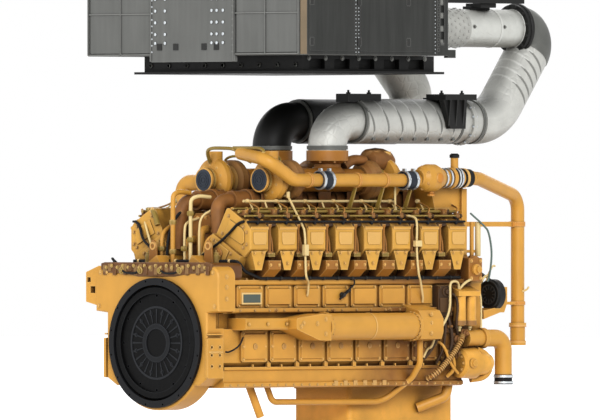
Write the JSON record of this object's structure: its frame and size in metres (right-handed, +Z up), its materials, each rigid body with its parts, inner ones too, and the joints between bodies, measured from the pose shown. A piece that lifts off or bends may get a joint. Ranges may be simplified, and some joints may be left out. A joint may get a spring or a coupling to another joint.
{
  "type": "diesel engine with exhaust cleaning module",
  "caption": "Large V-type diesel engine with a flywheel, oil cooler, coolant pipes and turbochargers, and exhaust ducts up to a box-shaped cleaning module above it.",
  "frame": {"origin": "middle of the rear flange face of the flywheel housing, on the crankshaft's axis", "axes": "+X forward along the crankshaft, +Y to the left bank seen from the flywheel, +Z up"},
  "size_m": [3.532, 2.064, 3.14],
  "materials": {
    "engine_paint": "satin",
    "black_paint": "satin",
    "dark_steel": "brushed",
    "shield_brown": "matte",
    "pale_paint": "satin",
    "black_rubber": "matte",
    "lagged_steel": "satin",
    "dull_steel": "matte",
    "white_steel": "satin",
    "grey_paint": "matte",
    "dark_grey_paint": "matte"
  },
  "bodies": {
    "engine": {"coupling_ring": "black_paint", "flywheel_housing": "engine_paint", "cylinder_block": "engine_paint", "rear_gear_housing": "engine_paint", "front_gear_housing": "engine_paint", "oil_pan": "engine_paint", "oil_sump": "engine_paint", "crankcase_covers": "engine_paint", "camshaft_covers": "engine_paint", "cylinder_heads": "engine_paint", "rocker_covers": "engine_paint", "aftercooler_housing": "engine_paint", "exhaust_manifolds": "shield_brown", "exhaust_collectors": "engine_paint", "turbochargers": "engine_paint", "oil_cooler": "engine_paint", "oil_cooler_housings": "engine_paint", "lifter_covers": "engine_paint", "charge_air_pipe": "engine_paint", "return_pipe_arch": "engine_paint", "coolant_header": "engine_paint", "thermostat_housing": "engine_paint", "coolant_return_pipe": "engine_paint", "return_pipe_bracket": "engine_paint", "water_pump": "engine_paint", "pump_inlet_elbow": "engine_paint", "inlet_hose_end": "black_rubber", "fuel_filters": "engine_paint", "alternator": "black_paint", "alternator_bracket": "engine_paint", "fuel_rail": "pale_paint", "wiring_harness": "black_rubber", "drain_pipe": "engine_paint", "oil_line": "engine_paint", "suction_pipe": "engine_paint", "right_exhaust_elbow": "lagged_steel", "right_duct_run": "lagged_steel", "right_duct_riser": "lagged_steel", "duct_saddles": "black_paint", "exhaust_u_bend": "dull_steel", "module_inlet_pipe": "white_steel", "inlet_clamp_ring": "black_paint", "left_exhaust_elbow": "black_paint", "left_duct_run": "black_paint", "left_duct_riser": "lagged_steel", "module_case": "grey_paint", "module_rear_panels": "grey_paint", "module_side_doors": "dark_grey_paint", "module_front_frame": "dark_grey_paint", "module_base_frame": "black_paint"},
    "crank": {"flywheel": "dark_steel", "crankshaft": "dark_steel", "vibration_damper": "black_paint"}
  },
  "joints": [
    {"name": "crank_spin", "type": "hinge", "parent": "engine", "child": "crank", "pos_m": [0.3, 0, 0], "axis": [1, 0, 0], "continuous": true}
  ]
}
